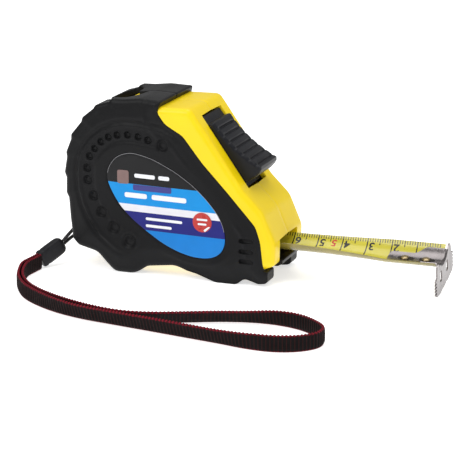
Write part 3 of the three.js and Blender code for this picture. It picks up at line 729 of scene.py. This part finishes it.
def through(route, spacing):
    """Evenly spaced points on a centripetal Catmull-Rom curve through a route."""
    knots = np.array(route, float)
    knots = np.vstack([2 * knots[0] - knots[1], knots, 2 * knots[-1] - knots[-2]])
    drawn = []
    for a, b, c, d in zip(knots, knots[1:], knots[2:], knots[3:]):
        gaps = [norm(q - p) ** 0.5 for p, q in ((a, b), (b, c), (c, d))]
        t0, t1, t2, t3 = np.cumsum([0, *gaps])
        for t in np.linspace(t1, t2, 24, endpoint=False):
            ab, bc, cd = between(a, b, t0, t1, t), between(b, c, t1, t2, t), between(c, d, t2, t3, t)
            drawn.append(between(between(ab, bc, t0, t2, t), between(bc, cd, t1, t3, t), t1, t2, t))
    drawn.append(knots[-2])
    return resample(np.array(drawn), spacing, closed=False)


def lean(x, forward):
    """How far the webbing's upper edge tips over, in radians, from its own normal."""
    near = 0.35 * smoothstep(-142, -112, x) * (1 - smoothstep(-58, -34, x))
    far = -0.6 * smoothstep(-128, -86, x) * (1 - smoothstep(-58, -32, x))
    return float(near if forward else far)


def webbing():
    """Webbing on edge: a flat rounded section with ribs and scalloped selvedges, tipped over a little."""
    line = through(WEBBING_ROUTE, WEB_STEP)
    tangent = unit(np.gradient(line, axis=0))
    normal = np.column_stack([tangent[:, 1], -tangent[:, 0]])
    half = WEB_WIDTH / 2
    section = [(z * half, (1 - abs(z) ** 6 * 0.45) * WEB_THICK / 2) for z in np.linspace(-1, 1, 15)]
    section = section + [(z, -t) for z, t in reversed(section)]
    turn = int(np.argmax(line[:, 0]))
    tips = soften_open(np.array([[lean(x, i < turn)] for i, (x, _) in enumerate(line)]), 20)[:, 0]
    points, uvs, middle = [], [], []
    for i, (p, n) in enumerate(zip(line, normal)):
        along = i * WEB_STEP
        swell = cos(2 * pi * along / WEB_RIB)
        drift = 0.2 * noise.noise(Vector((along * 0.03, 2.7, 0)))
        c, d = cos(tips[i]), sin(tips[i])
        foot = WEBBING_LEVEL - half + WEB_THICK / 2 * abs(d)
        middle.append((*(p + n * half * d), foot + half * c))
        for z, t in section:
            ribbed = t * (1 + 0.3 * swell * (1 - (abs(z) / half) ** 4))
            high = (z + half) * (1 + 0.03 * swell * (abs(z) / half) ** 3) + drift * (z > 0)
            q = p + n * (high * d + ribbed * c)
            points.append((q[0], q[1], foot + high * c - ribbed * d))
            uvs.append((along, z))
    faces = tube_faces(len(line), len(section))
    made = piece("wrist_webbing", points, faces, webbing_weave(), "case", ("strap_webbing",),
                 uvs=uvs)
    crease(made, 60)
    return made


def thin_cord():
    """The thin cord from the clamp, round the pin in the case's lugs and back, as one open curve."""
    path = [at(*place) for place in through(CORD_ROUTE, 0.4)]
    curve = bpy.data.curves.new("wrist_cord", "CURVE")
    curve.dimensions = "3D"
    spline = curve.splines.new("POLY")
    spline.points.add(len(path) - 1)
    for point, place in zip(spline.points, path):
        point.co = (*place, 1)
    curve.bevel_depth = CORD_RADIUS / 1000
    curve.bevel_resolution = 5
    curve.use_fill_caps = True
    curve.materials.append(cord_fibre)
    made = join_frame(add_object("wrist_cord", curve), "case", ("strap_cord",))
    return made


# Stations along the sleeve, with the share of its full section at each
SLEEVE_LENGTH, SLEEVE_HALF_WIDTH, SLEEVE_HALF_THICK = 10.9, 3.5, 2.3
SLEEVE_STATIONS = [
    (-0.3, 0.55), (-0.3, 0.8), (-0.1, 0.94), (0.35, 1.0), (1.2, 1.02), (1.8, 0.96), (2.4, 1.0), (4.5, 1.01),
    (7.0, 1.0), (8.4, 0.99), (9.3, 0.96), (10.0, 0.88), (10.6, 0.74), (10.9, 0.55),
]


def clamp_sleeve():
    """The crimped sleeve on the webbing's ends and the cord: flat, round-cornered, waisted near the cord."""
    axis = CLAMP_HEAD - CLAMP_FOOT
    length = norm(axis)
    axis /= length
    up = np.array((0, 0, 1.0)) - axis * axis[2]
    up /= norm(up)
    across = np.cross(axis, up)
    points = []
    turns = 40
    for s, swell in SLEEVE_STATIONS:
        middle = CLAMP_FOOT + axis * (s / SLEEVE_LENGTH * (length + 0.2))
        for c, d in circle(1, turns):
            w = SLEEVE_HALF_WIDTH * copysign(abs(c) ** 0.55, c) * swell
            t = SLEEVE_HALF_THICK * copysign(abs(d) ** 0.62, d) * swell
            points.append(tuple(middle + up * w + across * t))
    made = piece("strap_sleeve", points, tube_faces(len(SLEEVE_STATIONS), turns), black_plastic, "case",
                 ("strap_clamp",))
    return crease(made, 50)


# --- label and sticker
LABEL_FACE = FACE - 0.08


def film(name, rings, material, extra=(), lift=0.0, dome=0.0, edge=0.02, replaced=()):
    """A thin printed film on the right side: a triangulated outline with a rolled-down edge."""
    flat, triangles = triangulate(rings, extra)
    far = distance(flat, rings[0])
    points = [(x, -(LABEL_FACE + lift + dome * smoothstep(0, 8, f) - edge * (1 - smoothstep(0, 0.3, f))), z)
              for (x, z), f in zip(flat, far)]
    return piece(name, points, triangles, material, "case", replaced)


def label():
    """The label, with a grey line along its edge where it faces up."""
    inner = label_line - outward(label_line) * 0.18
    made = film("side_label", [label_line, inner], [label_film(), edge_grey], lattice(label_line, 1.2, 0.8),
                edge=0.1, dome=0.12, replaced=("right_label",))
    for face in made.data.polygons:
        x, _, z = face.center * 1000 - BLADE_ORIGIN
        from_line = distance(np.array([(x, z)]), label_line[::3])[0]
        face.material_index = 1 if from_line < 0.16 and z > 5 and x + z > -104 else 0
    return made


def patch(name, corners, material, lift=0.2, spacing=0.3, **shape):
    """A small printed shape lying on the label."""
    return film(name, [rounded_outline(corners, spacing)], material, lift=lift, **shape)


def bar(name, left, right, low, high, radius, material, lift=0.2, fall=0.0):
    """A printed bar whose right end lies lower by fall."""
    patch(name, [(left, high, radius), (left, low, radius), (right, low - fall, radius),
                 (right, high - fall, radius)], material, lift)


# The label's plain bars: left, right, middle height, half height
LABEL_BARS = [(-117.2, -108.6, 24.6, 0.8), (-107.2, -102.6, 24.4, 0.8), (-121.4, -112, 16.7, 1.0),
              (-110, -95.6, 16.5, 1.0), (-112.6, -97.4, 7.7, 0.55), (-112.6, -101.8, 4.9, 0.55)]
STICKER_MIDDLE, STICKER_RADIUS = np.array((-89.1, 8.2)), 3.9


def label_print():
    """Generic print in place of words: plain bars, a square, a tab and a round sticker."""
    bar("label_square", -124.4, -119.6, 21, 26.4, 0.9, ink_grey)
    patch("label_tab", [(-117.8, 21, 0.2), (-117.8, 18.7, 0.6), (-101.8, 18.5, 0.6), (-101.8, 20.8, 0.2)],
          ink_navy)
    for number, (left, right, middle, half) in enumerate(LABEL_BARS):
        bar(f"label_bar_{number + 1}", left, right, middle - half, middle + half, half * 0.9, ink_white,
            fall=PRINT_FALL * (right - left))
    ring = STICKER_MIDDLE + circle(STICKER_RADIUS, 72)
    film("round_sticker", [ring], sticker_red, lattice(ring, 0.8, 0.4), lift=0.26, edge=0.06)
    peel = [(-87.9, 4.5, 0.2), (-85.6, 6.7, 0.4), (-86.5, 6.7, 0.8), (-88.6, 5.2, 0.8)]
    patch("sticker_peel", peel, sticker_white, lift=0.42, spacing=0.25, edge=0.05)
    x = STICKER_MIDDLE[0]
    for number, (z, half_long) in enumerate([(9.3, 2.2), (7.5, 1.8)]):
        bar(f"sticker_bar_{number + 1}", x - half_long, x + half_long, z - 0.4, z + 0.4, 0.3, ink_white, 0.3)


# --- lock button
def on_slope(s, n):
    return (SLOPE_FOOT[0] + s * cos(SLOPE_ANGLE) + n * sin(SLOPE_ANGLE),
            SLOPE_FOOT[1] + s * sin(SLOPE_ANGLE) - n * cos(SLOPE_ANGLE))


# The lock's pad, as places along the slope: its cross ribs, and the foot that reaches into the slot
RIB_COUNT, RIBS_FROM, RIBS_TO = 7, 5.4, 28.2
PAD_FROM, PAD_TO, BUTTON_FOOT, BUTTON_ROUND = 4.4, 28.4, -1.9, 1.3


def pad_height(s):
    return 8.6 - 0.52 * (s - 4.6) + 0.0105 * (s - 4.6) ** 2


def button_profile():
    """The button's outline from the side: steep at its foot, a hollow pad, and a smooth strip behind it."""
    profile = [(2.3, BUTTON_FOOT), (2.3, 0), (2.15, 2.2), (2.1, 4.4), (2.6, 6.6), (3.3, 8.0)]
    profile += [(s, pad_height(s)) for s in np.arange(PAD_FROM, PAD_TO, 0.12)]
    profile += [(28.9, 1.7), (29.2, 0.6), (29.4, -0.2), (29.7, -0.48), (31.2, -0.5), (32.6, -0.5),
                (33.0, -0.7), (33.1, -1.0), (33.1, BUTTON_FOOT)]
    return resample(np.array(profile), 0.12, closed=False)


def button():
    """The thumb button: its profile across the slot, with grooves that fade out at its rounded sides."""
    line = button_profile()
    tangent = unit(np.gradient(soften_open(line, 3), axis=0))
    normal = np.column_stack([-tangent[:, 1], tangent[:, 0]])
    phase = (line[:, 0] - RIBS_FROM) / (RIBS_TO - RIBS_FROM) * RIB_COUNT
    ribbed = (phase > 0) & (phase < RIB_COUNT) & (line[:, 1] > 1.4)
    part = phase % 1
    groove = np.where(ribbed, 0.7 * bell(part - 0.2, 0.16) + 0.22 * (1 - part), 0)
    half = SLOT_HALF - 0.25
    flat_half = half - BUTTON_ROUND
    offsets = [(-half + BUTTON_ROUND * (1 - cos(a)), BUTTON_ROUND * (1 - sin(a)),
                0.05 + 0.25 * sin(a)) for a in np.linspace(0, pi / 2, 11)]
    middle = [(y, 0.0, 0.3 + 0.7 * float(smoothstep(0, 2.2, flat_half - abs(y))))
              for y in np.linspace(-flat_half, flat_half, 27)[1:-1]]
    offsets = offsets + middle + [(-y, drop, share) for y, drop, share in reversed(offsets)]
    points = []
    for y, drop, share in offsets:
        crown = 0.3 * (1 - (y / half) ** 2)
        for (s, n), (ns, nn), cut in zip(line, normal, groove):
            raised = float(smoothstep(0.2, 1.6, n))
            depth = drop * (0.35 + 0.65 * raised) + cut * share
            x, z = on_slope(s - ns * depth, max(BUTTON_FOOT, n - nn * depth + crown * raised))
            points.append((x, y, z))
    faces = grid_faces(len(offsets), len(line))
    for first, y, flip in ((0, -half, False), (len(points) - len(line), half, True)):
        edge = np.array(points[first:first + len(line)])[:, [0, 2]]
        flat, triangles = triangulate([edge], lattice(edge, 1.2, 0.6))
        base = len(points)
        points += [(x, y, z) for x, z in flat]
        faces += [tuple(base + i for i in (t[::-1] if flip else t)) for t in triangles]
    made = piece("thumb_button", points, faces, button_plastic, "lock", ("lock_button",))
    return crease(made, 50)


def soften_open(values, sigma):
    half = int(3 * sigma) + 1
    padded = np.vstack([np.repeat(values[:1], half, 0), values, np.repeat(values[-1:], half, 0)])
    return soften(padded, sigma)[half:-half]


# --- blade and hook
def arc(radius, angle):
    return radius * sin(angle), BLADE_RADIUS - BLADE_SAG - radius * cos(angle)


def rolled(x, y, z):
    """A point that moves with the free strip: it rolls about its length and droops towards the hook."""
    share = min(1.0, max(0.0, (x - ROLL_FROM) / (ROLL_TO - ROLL_FROM))) ** ROLL_GROWTH
    c, d = cos(END_ROLL * share), sin(END_ROLL * share)
    up = z - ROLL_LEVEL
    return x, y * c - up * d, ROLL_LEVEL + y * d + up * c - END_DROOP * share


def blade_strip():
    """The painted strip: its scale on the hollow side, and below it a darker lacquer with painted shade."""
    steps = np.arange(BLADE_REAR, BLADE_TIP + 0.01, 0.35)
    angles = np.linspace(-BLADE_HALF_ANGLE, BLADE_HALF_ANGLE, 41)
    points, uvs = [], []
    for radius in (BLADE_RADIUS, BLADE_RADIUS + BLADE_THICK):
        for x in steps:
            for angle in angles:
                points.append(rolled(x, *arc(radius, angle)))
                uvs.append((x, BLADE_RADIUS * angle))
    top, rest = sheet_faces(len(steps), len(angles))
    paints = [blade_lacquer("blade_scale", scale=True), blade_lacquer("blade_back_shaded")]
    made = piece("scale_strip", points, top + rest, paints, "blade", ("blade",), uvs=uvs,
                 indices=[0] * len(top) + [1] * len(rest))
    return crease(made, 50)


INK_LIFT = 0.03


def figure(name, text, x, across, size, material):
    """A scale figure in ink on the hollow side, read with the hook at the left, its foot to the far edge."""
    curve = bpy.data.curves.new(name, "FONT")
    curve.body = text
    curve.size = size
    curve.align_x = "CENTER"
    curve.align_y = "CENTER"
    curve.resolution_u = 3
    curve.offset = 0.022 * size
    shape = add_object(name + "_outline", curve)
    bpy.context.view_layer.update()
    drawn = bpy.data.meshes.new_from_object(shape.evaluated_get(bpy.context.evaluated_depsgraph_get()))
    bpy.data.objects.remove(shape)
    bpy.data.curves.remove(curve)
    points = []
    for vertex in drawn.vertices:
        u, v, _ = vertex.co
        points.append(rolled(x - u, *arc(BLADE_RADIUS - INK_LIFT, (across - v) / BLADE_RADIUS)))
    faces = [tuple(p.vertices) for p in drawn.polygons]
    bpy.data.meshes.remove(drawn)
    return piece(name, points, faces, material, "blade")


def blade_print():
    """The centimetre figures, each just past its line, and the length mark in red."""
    for k in range(2, 7):
        figure(f"figure_{k}", str(k), -10 * k + 1.9, 6.2, 4.9, ink_black)
    figure("figure_length", "5", -43.4, 6.4, 4.4, ink_red)


def end_rolled(x, y, z):
    """A point of the hook: it takes the strip's roll and droop at the hook's rear end."""
    return (x, *rolled(ROLL_TO, y, z)[1:])


# The hook: its tongue's rear end, where the tongue grows wider, and the bend down to its plate
TONGUE_REAR, TONGUE_ROUND, TONGUE_THICK = -20, -18.6, 0.7
TONGUE_NARROW, TONGUE_WIDE, WIDER_FROM, WIDER_TO = 0.4, 0.76, -10.5, -5.0
BEND_START, BEND_RADIUS, BEND_TAIL = 1.0, 1.25, 1.4
PLATE_BACK, PLATE_FRONT = 1.65, 2.25


def tongue_angle(x):
    """Half the angle that the tongue takes of the strip's curve, rounded off at its rear end."""
    angle = TONGUE_NARROW + (TONGUE_WIDE - TONGUE_NARROW) * smoothstep(WIDER_FROM, WIDER_TO, x)
    if x < TONGUE_ROUND:
        angle *= sqrt(max(0.05, 1 - ((TONGUE_ROUND - x) / 1.5) ** 2))
    return angle


def hook_tongue():
    """The tongue under the scale's end, and a bend that follows its curve; the end in the plate is open."""
    stations = [(x, tongue_angle(x), 0.0, 0.0) for x in np.arange(TONGUE_REAR, BEND_START + 0.01, 0.35)]
    for turn in np.linspace(0, pi / 2, 7)[1:]:
        stations.append((BEND_START, TONGUE_WIDE, BEND_RADIUS * sin(turn),
                         BEND_RADIUS * (1 - cos(turn))))
    stations.append((BEND_START, TONGUE_WIDE, BEND_RADIUS, BEND_RADIUS + BEND_TAIL))
    shares = np.linspace(-1, 1, 49)
    under = BLADE_RADIUS - 0.32
    points = []
    # The under side turns the bend on a smaller radius
    tighter = (BEND_RADIUS - TONGUE_THICK * 0.9) / BEND_RADIUS
    for radius, scale in ((under - TONGUE_THICK, 1), (under, tighter)):
        for x, angle, out, drop in stations:
            for share in shares:
                y, z = arc(radius, angle * share)
                points.append(end_rolled(x + out * scale, y, z - drop * scale))
    top, rest = sheet_faces(len(stations), len(shares), close_end=False)
    return crease(piece("hook_tongue", points, top + rest, steel, "hook", ("end_hook",)), 45)


def plate_outline():
    """The plate's outline as (y, z): ears, toothed sides and a scalloped foot."""
    half = [(0, -4.1), (3, -3.7), (5.6, -2.6), (7.2, -1.4), (8.2, -0.2), (9.3, 0.1), (10.1, -0.7),
            (10.6, -2.8), (10.8, -4.4), (11.4, -4.9)]
    for k in range(5):
        z = -5.3 - k * 1.4
        half += [(13.3, z), (13.3, z - 0.5), (12.1, z - 0.85), (12.2, z - 1.15)]
    half += [(11.8, -12.4), (10.6, -12.75), (8.6, -13.3), (6.2, -13.85), (4.6, -13.7), (3.0, -13.45),
             (1.4, -13.7), (0, -13.8)]
    loop = half + [(-y, z) for y, z in reversed(half[1:-1])]
    return rounded_outline([(y, z, 0.35) for y, z in loop][::-1], 0.22)


def hook_plate():
    """The hook's plate with its two slots, pressed slightly hollow between its ears."""
    line = plate_outline()
    holes = []
    for y in (-4.6, 4.6):
        left, right, low, high = y - 1.5, y + 1.5, -9.4, -4.9
        corners = [(left, high), (left, low), (right, low), (right, high)]
        holes.append(rounded_outline([(*corner, 1.3) for corner in corners], 0.2))
    flat, triangles = triangulate([line] + holes, lattice(line, 0.9, 0.5))
    middles = np.array([flat[list(face)].mean(0) for face in triangles])
    in_hole = inside(middles, holes[0]) | inside(middles, holes[1])
    kept = [tuple(face) for face, hollow in zip(triangles, in_hole) if not hollow]
    count = len(flat)
    points = [end_rolled(place + sink(y), y, z) for place in (PLATE_FRONT, PLATE_BACK) for y, z in flat]
    faces = kept + [tuple(i + count for i in f)[::-1] for f in kept]
    edges = set()
    for face in kept:
        edges.update(zip(face, face[1:] + face[:1]))
    faces += [(b, a, a + count, b + count) for a, b in edges if (b, a) not in edges]
    made = crease(piece("hook_plate", points, faces, steel, "hook"), 40)
    return bevel(made, 0.12, 2, 50)


def sink(y):
    """The plate is pressed slightly hollow between its ears."""
    return 0.25 * float(smoothstep(7.0, 12.0, abs(y))) - 0.05


def hook_slots():
    """The tongue's two oval slots, which let the hook slide on its rivets, as sunk ovals of painted shade."""
    along, across = circle(1, 40).T
    ring = np.column_stack([3.1 * along, 1.45 * np.sign(across) * np.abs(across) ** 0.8])
    flat, triangles = triangulate([ring], lattice(ring, 0.5, 0.3))
    rises = np.where(distance(flat, ring) < 0.15, 1.12, 1.07)
    for number, x in enumerate(RIVET_SPOTS):
        points = [end_rolled(x + 0.4 + along, *arc(BLADE_RADIUS - rise, across / BLADE_RADIUS))
                  for (along, across), rise in zip(flat, rises)]
        piece(f"hook_slot_{number + 1}", points, triangles, slot_painted_shade, "hook")


# A rivet's low domed head as (radius, z)
RIVET_PROFILE = ((0.0, -2.46), (0.6, -2.48), (1.1, -2.58), (1.42, -2.75), (1.55, -2.95), (1.55, -3.2))


def rivets():
    turns = 28
    faces = grid_faces(len(RIVET_PROFILE), turns, closed_columns=True, flip=True)
    for number, spot in enumerate(RIVET_SPOTS):
        points = [end_rolled(spot + x, y, z) for radius, z in RIVET_PROFILE for x, y in circle(radius, turns)]
        crease(piece(f"rivet_{number + 1}", points, faces, brass, "blade",
                     (f"hook_rivet_{number + 1}",)), 50)


# --- assembly
sleeve = clamp_sleeve()
webbing()
thin_cord()
for half_side in (-1, 1):
    cover_side(half_side)
    housing_side(half_side)
label()
label_print()
button()
blade_strip()
blade_print()
hook_tongue()
hook_plate()
hook_slots()
rivets()

# Finish and edge bevel of the nodes that keep their CAD shape
CAD_FINISHES = [
    (black_plastic, {"mouth_lip": 0.25, "lock_tongue": 0.15}),
    (steel, {"spindle": 0.2, "case_screw_1": 0.12, "case_screw_2": 0.12, "case_screw_3": 0.12,
             "belt_clip": 0.15, "clip_screw": 0.15, "strap_pin": 0.1}),
    (grey_plastic, {"spool_drum": 0.15, "spool_flange": 0.15}),
    (spring_steel, {"power_spring": 0}),
    # The coil takes the darker lacquer copy, with painted shade
    (blade_lacquer("coil_shaded_paint"), {"blade_coil": 0.1}),
]
for finish, widths in CAD_FINISHES:
    for node_name, width in widths.items():
        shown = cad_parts[node_name]
        shown.data.materials.clear()
        shown.data.materials.append(finish)
        crease(shown)
        if width:
            bevel(shown, width)


# --- floor and light
def floor():
    mesh = bpy.data.meshes.new("floor")
    reach = 4.0
    corners = [(-reach, -reach, 0), (reach, -reach, 0), (reach, reach, 0), (-reach, reach, 0)]
    mesh.from_pydata(corners, [], [(0, 1, 2, 3)])
    mesh.materials.append(surface("floor_paper", (0.9, 0.9, 0.9), 0.9, blotch=4, vary=0.004, grain=300,
                                  Emission_Color=(1, 1, 1, 1), Emission_Strength=0.62,
                                  Specular_IOR_Level=0.1))
    add_object("floor", mesh)


def softbox(name, place, target, size, power):
    light = bpy.data.lights.new(name, "AREA")
    light.shape = "RECTANGLE"
    light.size, light.size_y = size
    light.energy = power
    made = add_object(name, light)
    made.location = place
    made.rotation_euler = (Vector(target) - Vector(place)).to_track_quat("-Z", "Y").to_euler()


def studio_world(strength):
    world = bpy.data.worlds.new("studio")
    world.use_nodes = True
    background = world.node_tree.nodes["Background"]
    background.inputs["Color"].default_value = (1, 1, 1, 1)
    background.inputs["Strength"].default_value = strength
    bpy.context.scene.world = world


floor()
studio_world(0.42)
bpy.context.scene.view_settings.view_transform = "Standard"
softbox("key", (-0.35, -0.75, 0.75), (0, 0, 0.03), (0.7, 0.5), 4.6)
softbox("top", (0.05, 0.1, 0.95), (0, 0, 0), (0.9, 0.7), 4.6)
softbox("side", (0.8, -0.3, 0.35), (0, 0, 0.02), (0.4, 0.5), 1.0)
